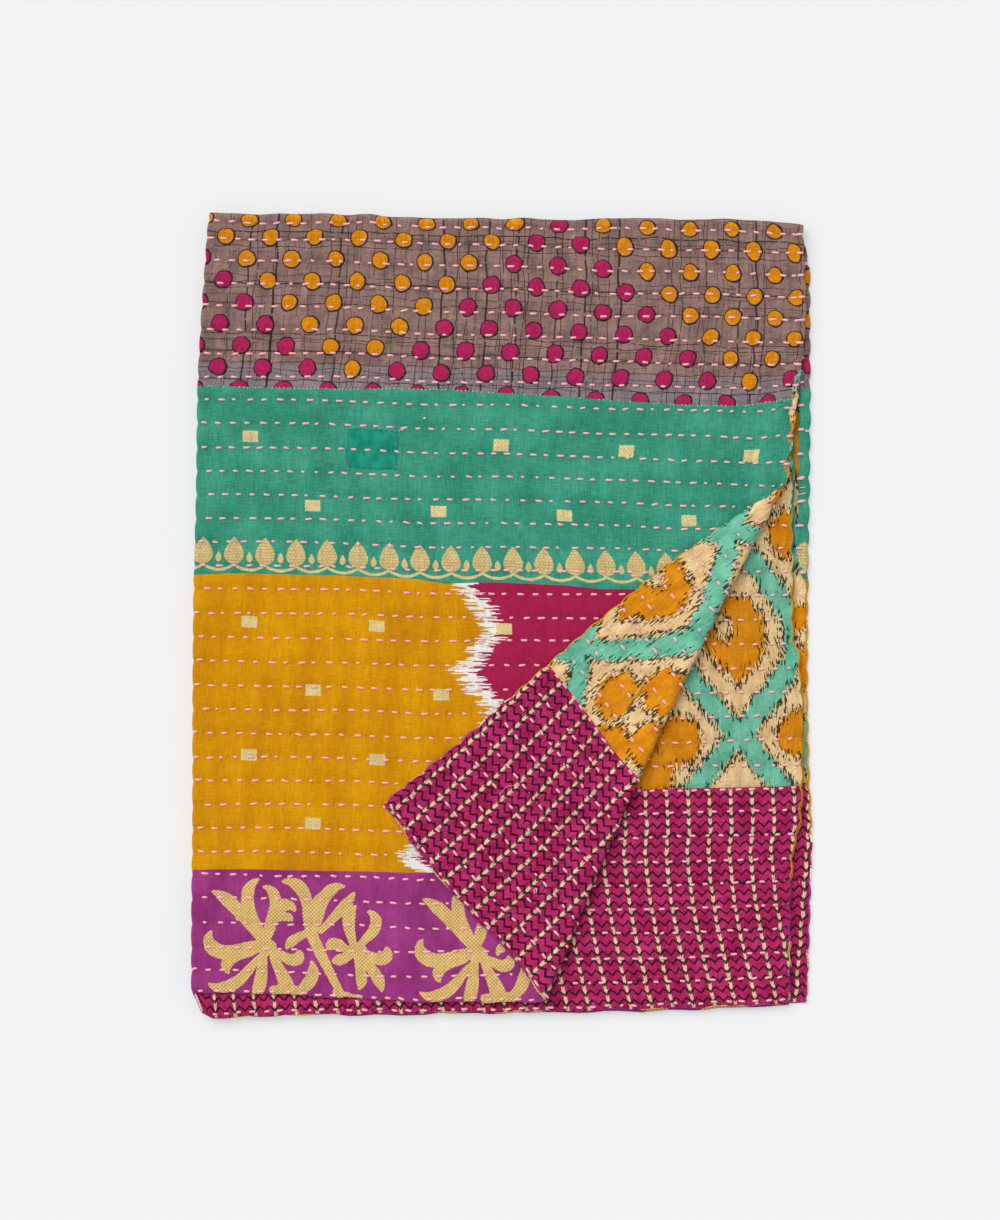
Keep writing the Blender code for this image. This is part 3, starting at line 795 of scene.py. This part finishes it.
# The leaf spray's fronds, in mm from its foot: foot across, foot up, direction in degrees, length,
# half width, and how far it curls, in degrees.
FRONDS = (
    (54, 48, 130, 58, 5.4, 24), (36, 64, 62, 22, 3.6, 70), (57, 48, 108, 58, 5.0, -72),
    (60, 54, 78, 46, 4.6, 84), (62, 50, 64, 44, 5.0, -116), (68, 64, 14, 16, 3.4, -80),
    (54, 42, 184, 58, 5.8, -116), (50, 36, 204, 36, 4.8, 92), (56, 32, 222, 58, 5.0, -70),
    (58, 36, 262, 44, 5.2, -20), (66, 32, 292, 44, 6.0, -34), (66, 3, 352, 24, 7.0, 30),
    (80, -6, 52, 44, 5.0, 56), (68, 36, 346, 28, 5.0, 130), (52, 40, 0, 14, 6.4, 0),
    (128, -8, 116, 92, 4.6, -8), (98, 56, 106, 56, 5.2, 78), (100, 60, 82, 32, 3.2, -34),
    (102, 58, 70, 50, 4.8, -66), (106, 56, 48, 46, 4.4, 10), (98, 56, 212, 28, 4.0, 30),
    (118, 4, 338, 30, 4.6, 12), (134, 42, 98, 40, 5.0, -52), (138, 44, 58, 40, 4.6, 96),
    (138, 40, 352, 34, 5.0, 128), (138, 38, 308, 38, 4.8, -30), (136, 38, 280, 32, 4.4, -28),
    (134, 38, 206, 20, 4.4, -20), (130, 40, 160, 22, 4.8, 100), (130, 41, 0, 12, 6.0, 0),
)


def spray(side, run):
    """How far each point lies outside the leaf sprays, in mm."""
    up = np.minimum(run, LENGTH / MM - run)
    outside = np.full(side.shape, FAR_OUTSIDE)
    for x, y, heading, length, half_width, curl in FRONDS:
        angle = math.radians(heading)
        for step in range(FROND_STEPS):
            share = step / FROND_STEPS
            radius = half_width * min(0.55 + 0.9 * share, 1.06, 2.6 * (1 - share) ** 0.7)
            off = (side - SPRAY_START - x + SPRAY_PITCH / 2) % SPRAY_PITCH - SPRAY_PITCH / 2
            outside = np.minimum(outside, np.hypot(off, up - y) - radius)
            x += math.cos(angle) * length / FROND_STEPS
            y += math.sin(angle) * length / FROND_STEPS
            # It first bends a little the other way, and curls most at its tip.
            angle += math.radians(curl) / FROND_STEPS * (5.1 * share - 1.1)
    return {"spray": outside}


# The chains: where they start across and up on the inner layer and on the outer one, how far apart
# they are, and how wide their band is on each side of its middle. Then the cells that they go round.
INNER_START, OUTER_START = (-463.0, 232.0), (507.0, 217.5)
CHAIN_PITCH = 157.0
CHAIN_HALF = 9.6
CELL_HEIGHT = 172.0
CELL_HALF = 29
# The petals of the flowers between the chains: place across and up from the flower's middle.
PETALS = ((27, 0), (-27, -4), (1, 36), (-3, -33))
PETAL_HALF = 18.5


def ikat_motif(side, run):
    """How far each point lies outside the chains of cells, and outside the flowers, in mm."""
    run = np.minimum(run, LENGTH / MM - run)
    inner = side < 0
    across = side - np.where(inner, INNER_START[0], OUTER_START[0])
    up = run - np.where(inner, INNER_START[1], OUTER_START[1])
    x = (across + CHAIN_PITCH / 2) % CHAIN_PITCH - CHAIN_PITCH / 2
    share = (up / CELL_HEIGHT) % 1
    half_width = CELL_HALF * (1 - np.abs(2 * share - 1)) + CELL_HALF * np.sin(math.pi * share)
    chain = np.abs(np.abs(x) - half_width) * 0.85 - CHAIN_HALF

    # A drop with a hole in each cell.
    y = (share - 0.5) * CELL_HEIGHT
    top = np.hypot(x, y - 4) - CELL_HALF
    tail = (np.abs(x) - 0.92 * (y + 43) + 0.004 * (y + 43) ** 2) * 0.72
    drop = np.where(y > 4, top, np.maximum(tail, np.abs(x) - CELL_HALF))
    drop = np.maximum(drop, 8 - np.hypot(x - 6, (y - 6) * 0.8))

    # Four petals beside each crossing.
    x = across % CHAIN_PITCH - CHAIN_PITCH / 2
    y = (up / CELL_HEIGHT + 0.5) % 1 * CELL_HEIGHT - CELL_HEIGHT / 2
    petals = np.min([np.hypot(x - a, (y - b) * 0.88) for a, b in PETALS], axis=0) - PETAL_HALF
    return {"motif": np.stack([chain, np.minimum(drop, petals), 0 * x], axis=1)}


# ---- Sewing ----
THREAD_LIFT = 0.2 * MM
# The running stitches, in mm: short ones, which are this share of all, and long ones on the outer
# layers and on the inner ones. Then how much one slants, and how unevenly they are spaced.
SHORT_SHARE = 0.16
SHORT, LONG_OUTER, LONG_INNER = (2.2, 3.6), (4.5, 7.1), (4.5, 6.0)
SLANT = 0.3
SPACING = (0.9, 1.1)
# What shows of the inner cloth's stitches: beyond a slanting line, and along the lower hem.
CORNER_START, CORNER_SLOPE, CORNER_FOOT, LOWER_RIM = 285 * MM, 0.42, 20 * MM, 12 * MM
WHITE = ("White frayed cotton", "#F4F6F0")
PINK = ("Pink quilting thread", "#FFB0B6")
ROSE = ("Rose sewing thread", "#E88BB0")


def thread_mesh(name, starts, ends, face, thickness, material, lift=THREAD_LIFT, sides=5):
    """Short threads that lie on a face and dive into the cloth at both ends."""
    shares = np.array([-1.0, -0.62, 0.0, 0.62, 1.0])
    rises = np.array([-0.55, 0.15, 0.3, 0.15, -0.55]) * thickness + lift
    widths = np.array([0.45, 0.95, 1.0, 0.95, 0.45]) * thickness / 2
    centre, reach = (starts + ends) / 2, (ends - starts) / 2
    places = centre[:, None] + reach[:, None] * shares[:, None]
    side, run = places[..., 0].ravel(), places[..., 1].ravel()
    lifts = np.tile(rises, len(starts))
    points = surface(side, run, face, lifts).reshape(len(starts), len(shares), 3)
    normal = unit(surface(side, run, face, lifts + 0.5 * MM).reshape(points.shape) - points)
    tangent = unit(np.gradient(points, axis=1))
    across = unit(np.cross(tangent, normal))
    normal = np.cross(across, tangent)
    turns = np.arange(sides) * 2 * math.pi / sides
    ring = across[:, :, None] * np.cos(turns)[:, None] + 0.8 * normal[:, :, None] * np.sin(turns)[:, None]
    rings = points[:, :, None] + ring * widths[:, None, None]
    vertices = rings.reshape(-1, 3)
    vertices[:, 2] = np.maximum(vertices[:, 2], LOWEST)

    here = np.arange(len(vertices)).reshape(rings.shape[:3])
    ahead = np.roll(here, -1, axis=2)
    quads = np.stack([here[:, :-1], ahead[:, :-1], ahead[:, 1:], here[:, 1:]], axis=-1).reshape(-1, 4)
    thing = mesh_object(name, vertices, quads[:, ::-1], material)
    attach(thing, "root")


def running_stitches(rows, side_start, side_end, seed, shown=None):
    """Starts and ends of the running stitches in those rows, as places on the cloth."""
    chance = np.random.RandomState(seed)
    starts, ends = [], []
    for row in rows:
        side = side_start + chance.uniform(0, 1) * STITCH_PITCH
        while side < side_end - 4 * MM:
            long = LONG_OUTER if side > 0 else LONG_INNER
            length = chance.uniform(*(SHORT if chance.uniform() < SHORT_SHARE else long)) * MM
            slant = chance.normal(0, SLANT) * MM
            run = row_place(row)
            run = min(max(run + row_wander(side, run), HEM_CLEARANCE), LENGTH - HEM_CLEARANCE)
            if shown is None or shown(side, run):
                starts.append((side, run - slant))
                ends.append((side + length, run + slant))
            side += STITCH_PITCH * chance.uniform(*SPACING)
    return np.array(starts), np.array(ends)


def hem_stitches(rows, edge, seed):
    """A stitch over the side hem at the end of each row."""
    chance = np.random.RandomState(seed)
    runs = np.array([row_place(row) + chance.uniform(-1, 1) * MM for row in rows])
    runs = np.clip(runs, HEM_CLEARANCE, LENGTH - HEM_CLEARANCE)
    return [np.stack([np.full(len(runs), edge * (HALF_WIDTH + past * MM)), runs + up * MM], axis=1)
            for past, up in ((-4.5, 0), (1.6, 0.4))]


def in_corner(side, run):
    """Whether that place is near the turned corner, or on the part of the next layer that shows."""
    past_line = abs(side) - CORNER_START > (run - CORNER_FOOT) * CORNER_SLOPE
    return past_line or (side < 0 and run < LOWER_RIM)


# ---- Build ----
# Grid steps: fine where the cloth shows, coarse where other layers hide it, and close in the folds.
FINE = 2.2 * MM
PLAIN = 3.4 * MM
COARSE = 11 * MM
LEAF_STEP = 1.4 * MM
BEND_STEP = 0.55 * MM
BEND_END = 3.2 * MM
RIM = 18 * MM
TOP_START = FRONT_LENGTH - 4 * MM
TOP_END = FRONT_LENGTH + math.pi * TOP_BEND + 4 * MM


def outer_sides(step, rim_step):
    """Grid lines across the patchwork face, with those steps on the outer layers."""
    rim = HALF_WIDTH - RIM
    inner = spans(-HALF_WIDTH, FINE, -rim, COARSE, -BEND_END, BEND_STEP, BEND_END)
    outer = spans(BEND_END, step, rim, rim_step, HALF_WIDTH)
    return np.concatenate([-HALF_WIDTH + hem_wrap(-1), inner, outer[1:], HALF_WIDTH + hem_wrap(1)])


def make_patchwork():
    near, far = outer_sides(FINE, FINE), outer_sides(COARSE, 1.2 * MM)
    leafy = np.unique(np.concatenate([near, spans(BEND_END, LEAF_STEP, HALF_WIDTH)]))
    purple, mustard, green, grey = purple_cotton(), mustard_cotton(), green_cotton(), dotted_grey_cotton()
    seams = np.array(sorted(SEAMS[1])) * MM
    near_purple = np.concatenate([hem_wrap(-1), spans(0, LEAF_STEP, seams[0])])
    far_purple = np.concatenate([spans(seams[5], PLAIN, LENGTH), LENGTH + hem_wrap(1)])
    over_top = spans(seams[2], FINE, TOP_START, 0.8 * MM, TOP_END, PLAIN, seams[3])
    panel("purple_panel_front", leafy, near_purple, 1, purple, spray)
    panel("mustard_panel_front", near, spans(seams[0], FINE, seams[1]), 1, mustard)
    panel("green_panel_front", near, spans(seams[1], FINE, seams[2]), 1, green)
    panel("grey_dotted_panel", near, over_top, 1, grey)
    panel("green_panel_back", far, spans(seams[3], PLAIN, seams[4]), 1, green)
    panel("mustard_panel_back", far, spans(seams[4], PLAIN, seams[5]), 1, mustard)
    panel("purple_panel_back", far, far_purple, 1, purple, spray)


def make_inner_cloth():
    """The inner cloth, on a grid that is fine where the turned corner bares it and where it frays."""
    shown = 265 * MM
    sides = spans(-HALF_WIDTH, FINE, -shown, COARSE, -BEND_END, BEND_STEP, BEND_END, COARSE, shown, FINE,
                  HALF_WIDTH - EDGE_REACH, BEND_STEP, HALF_WIDTH)
    chevron, ikat = chevron_cotton(), ikat_cotton()
    near_seam, far_seam = np.array(SEAMS[-1]) * MM
    over_top = spans(near_seam, FINE, 475 * MM, PLAIN, TOP_START, 1.0 * MM, TOP_END, 2 * PLAIN, far_seam)
    panel("chevron_panel_front", sides, spans(0, FINE, near_seam), -1, chevron)
    panel("ikat_panel", sides, over_top, -1, ikat, ikat_motif)
    panel("chevron_panel_back", sides, spans(far_seam, PLAIN, LENGTH), -1, chevron)


def make_stitches():
    pink = thread(*PINK)
    near_rows, far_rows = range(0, 34), range(34, ROW_SPACES + 1)
    fold = -1 * MM
    for name, face, lift, stitches in (
            ("front", 1, THREAD_LIFT, (near_rows, fold, HALF_WIDTH, 101)),
            ("underside", 1, 0, (far_rows, fold, HALF_WIDTH, 102)),
            ("turned_corner", -1, THREAD_LIFT, (near_rows, 0, HALF_WIDTH, 103, in_corner)),
            ("bared_layer", -1, THREAD_LIFT, (near_rows, -HALF_WIDTH, 0, 104, in_corner))):
        places = running_stitches(*stitches)
        thread_mesh("stitches_" + name, *places, face, STITCH_THICKNESS, pink, lift)
    for name, *stitches in (("front", near_rows, 1, 105), ("inner", near_rows, -1, 106),
                            ("bottom", far_rows, 1, 107)):
        places = hem_stitches(*stitches)
        thread_mesh("hem_stitches_" + name, *places, 1, 1.15 * STITCH_THICKNESS, pink)


def make_seam_threads():
    """The white sewing thread that shows here and there along the grey cloth's seam."""
    chance = np.random.RandomState(61)
    places = [(side * MM, GREEN_TO_GREY * MM) for side in np.arange(6, 515, 3.4)
              if chance.uniform() < 0.25 + 0.5 * (uneven(side / 60, 0.5, 62) > 0)]
    places = np.array(places) + chance.normal(0, 0.25, (len(places), 2)) * MM
    places[:, 1] += seam_wander(*places.T)
    half_step = np.array([0.25, 0.6]) * MM
    thread_mesh("seam_threads", places - half_step, places + half_step, 1, 0.6 * MM,
                thread("White sewing thread", "#F0F1EC"), lift=0.1 * MM, sides=4)


PATCH_MIDDLE = np.array((153.0, 472.0)) * MM
PATCH_HALF = np.array((22.5, 17.0)) * MM
PATCH_LIFT = 0.45 * MM


def make_patch():
    """The mending patch, its edges turned under and sewn down with small dark stitches."""
    steps = np.linspace(-1, 1, 31)
    a, b = (values.ravel() for values in np.meshgrid(steps, steps))
    wide = 1 - 0.08 * np.abs(b) ** 6 + 0.03 * uneven(b * 3, a * 0, 51)
    high = 1 - 0.10 * np.abs(a) ** 6 + 0.04 * uneven(a * 3, b * 0, 52)
    side = PATCH_MIDDLE[0] + PATCH_HALF[0] * a * wide
    run = PATCH_MIDDLE[1] + PATCH_HALF[1] * b * high
    rim = np.maximum(np.abs(a), np.abs(b))
    points = surface(side, run, 1, PATCH_LIFT * (1 - smooth((rim - 0.9) / 0.1)) + 0.04 * MM)
    thing = mesh_object("mending_patch_cloth", points, grid_faces(31, 31, False), patch_cotton())
    write_cloth(thing.data, side, run)
    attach(thing, "root")
    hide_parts("mending_patch")

    # Its stitches: place on the patch, then direction.
    around = []
    for place in np.arange(-0.9, 0.95, 0.2):
        around += [(place, -0.93, 1, 0), (place, 0.93, 1, 0.1), (-0.95, place, 0, 1), (0.94, place, 0.1, 1)]
    around = np.array(around) + np.random.RandomState(7).normal(0, 0.02, (len(around), 4))
    places, half_step = PATCH_MIDDLE + around[:, :2] * PATCH_HALF, around[:, 2:] * MM
    thread_mesh("mending_stitches", places - half_step, places + half_step, 1, 0.7 * MM,
                thread("Dark green mending thread", "#0A4A40"), lift=PATCH_LIFT)


END_POINTS = 14
# Loose ends: name, face, thread, thickness, then places: across, along and height over the cloth.
LOOSE_ENDS = (
    ("patch_fray", 1, WHITE, 0.4, ((175, 488.6, 0.6), (177, 490, 1.5), (178.5, 489.4, 1.3), (180, 491, 1.6))),
    ("white_fleck", 1, WHITE, 1.3, ((196, 500, 0.6), (196.8, 500.6, 1.1), (197.3, 500.2, 0.8))),
    ("corner_thread", -1, ROSE, 0.45, ((461, 84, 0.5), (463, 93, 1.3), (459, 99, 1.5), (456, 108, 0.5))),
    ("corner_fluff", -1, WHITE, 0.5, ((376, 52, 0.5), (379, 54, 1.4), (378, 57, 1.4), (376, 54, 0.8))),
    ("side_loop", 1, PINK, 0.8, ((512, 897, 0.4), (521, 899, 1.2), (522, 893, 1.3), (513, 892, 0.4))),
)


def make_loose_ends():
    """Ends of thread left long, and wisps of lint caught on the cloth."""
    threads = {kind: thread(*kind) for kind in (WHITE, PINK, ROSE)}
    for name, face, kind, thickness, places in LOOSE_ENDS:
        places = np.array(places) * MM
        shares = np.linspace(0, len(places) - 1, END_POINTS)
        fine = np.stack([np.interp(shares, range(len(places)), line) for line in places.T], axis=1)
        for step in range(2):
            fine[1:-1] = (fine[:-2] + 2 * fine[1:-1] + fine[2:]) / 4
        centre = surface(fine[:, 0], fine[:, 1], face, fine[:, 2])
        curve = bpy.data.curves.new(name, "CURVE")
        curve.dimensions = "3D"
        curve.bevel_depth = thickness * MM / 2
        curve.bevel_resolution = 1
        spline = curve.splines.new("POLY")
        spline.points.add(END_POINTS - 1)
        spline.points.foreach_set("co", np.insert(centre, 3, 1, axis=1).ravel())
        curve.materials.append(threads[kind])
        thing = placed(name, curve)
        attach(thing, "root")


DAYLIGHT = (0.985, 0.99, 1.0, 1)


def make_floor():
    """A pale, even surface to lie on."""
    material = bpy.data.materials.new("Pale board lit from below")
    material.use_nodes = True
    shader = material.node_tree.nodes["Principled BSDF"]
    # Half of its brightness is its own, so shadows on it stay faint.
    for name, value in {"Base Color": linear("#B2B3B3"), "Roughness": 0.95, "Specular IOR Level": 0.1,
                        "Emission Color": DAYLIGHT, "Emission Strength": 0.43}.items():
        shader.inputs[name].default_value = value
    bpy.ops.mesh.primitive_plane_add(size=60)
    floor = bpy.context.object
    floor.name = "floor"
    floor.data.materials.append(material)


# How much the view takes in at the height of the stack's top, and where its middle is.
VIEW_HEIGHT = 1037 * MM
VIEW_MIDDLE = (-1.7 * MM, 3.8 * MM)
TOP_OF_STACK = 11 * MM


def make_camera():
    data = bpy.data.cameras.new("camera")
    data.sensor_fit = "VERTICAL"
    data.sensor_height = 36
    data.lens = 85
    camera = placed("camera", data)
    camera.location = (*VIEW_MIDDLE, TOP_OF_STACK + VIEW_HEIGHT * data.lens / data.sensor_height)
    bpy.context.scene.camera = camera


def make_lights():
    """Wide, even daylight with its brighter side at the upper left."""
    world = bpy.data.worlds.new("studio")
    bpy.context.scene.world = world
    world.use_nodes = True
    background = world.node_tree.nodes["Background"]
    background.inputs["Color"].default_value = DAYLIGHT
    background.inputs["Strength"].default_value = 0.56
    data = bpy.data.lights.new("daylight", "SUN")
    data.energy = 2.0
    data.angle = math.radians(42)
    placed("daylight", data).rotation_euler = (0, math.radians(-40), math.radians(-55))


make_camera()
make_lights()
make_floor()
make_patchwork()
make_inner_cloth()
make_stitches()
make_seam_threads()
make_patch()
make_loose_ends()
bpy.context.scene.view_settings.view_transform = "Standard"
